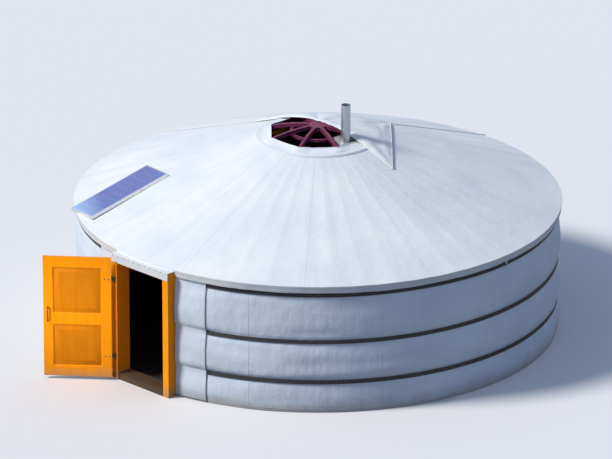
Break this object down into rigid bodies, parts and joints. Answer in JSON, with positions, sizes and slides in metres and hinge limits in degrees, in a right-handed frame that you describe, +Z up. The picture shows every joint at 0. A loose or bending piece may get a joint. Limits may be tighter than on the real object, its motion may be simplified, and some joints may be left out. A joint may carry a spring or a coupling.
{
  "type": "yurt",
  "caption": "Round felt tent with lattice walls, radial roof poles, an open spoked crown with a stove pipe, white cover, belts and a hinged wooden door.",
  "frame": {"origin": "on the ground, where the tent's axis meets it", "axes": "+Z up; the doorway faces -Y; +X is to the right for someone who looks at the doorway"},
  "size_m": [5.801, 6.4559, 2.8627],
  "materials": {
    "canvas": "matte",
    "felt": "matte",
    "belt": "matte",
    "rope": "matte",
    "lattice_wood": "satin",
    "pole_paint": "satin",
    "crown_paint": "satin",
    "door_paint": "gloss",
    "iron": "satin",
    "pipe_steel": "satin",
    "aluminium_rim": "satin",
    "solar_cells": "gloss"
  },
  "bodies": {
    "tent": {"belt_lower": "belt", "belt_middle": "belt", "belt_upper": "belt", "cover_strip_left": "canvas", "cover_strip_right": "canvas", "crown_flap": "canvas", "crown_inner_ring": "crown_paint", "crown_post_left": "pole_paint", "crown_post_right": "pole_paint", "crown_ring": "crown_paint", "crown_spokes": "crown_paint", "door_head": "door_paint", "door_jamb_left": "door_paint", "door_jamb_right": "door_paint", "door_sill": "door_paint", "flap_ropes": "rope", "hinge_pins": "iron", "lattice_wall_1": "lattice_wood", "lattice_wall_2": "lattice_wood", "lattice_wall_3": "lattice_wood", "lattice_wall_4": "lattice_wood", "lattice_wall_5": "lattice_wood", "pipe_plate": "pipe_steel", "roof_cover": "canvas", "roof_felt_back": "felt", "roof_felt_front": "felt", "roof_poles_1": "pole_paint", "roof_poles_2": "pole_paint", "roof_poles_3": "pole_paint", "roof_poles_4": "pole_paint", "roof_poles_5": "pole_paint", "roof_poles_over_door": "pole_paint", "solar_frame": "aluminium_rim", "solar_sheet": "solar_cells", "stove_pipe": "pipe_steel", "wall_cover": "canvas", "wall_felt_1": "felt", "wall_felt_2": "felt", "wall_felt_3": "felt", "wall_felt_4": "felt", "wall_felt_5": "felt"},
    "door": {"door_leaf": "door_paint", "door_pulls": "iron", "hinge_straps": "iron"}
  },
  "joints": [
    {"name": "door_hinge", "type": "hinge", "parent": "tent", "child": "door", "pos_m": [-0.412, -3, 0.785], "axis": [0, 0, -1], "range_deg": [-140, 20]}
  ]
}
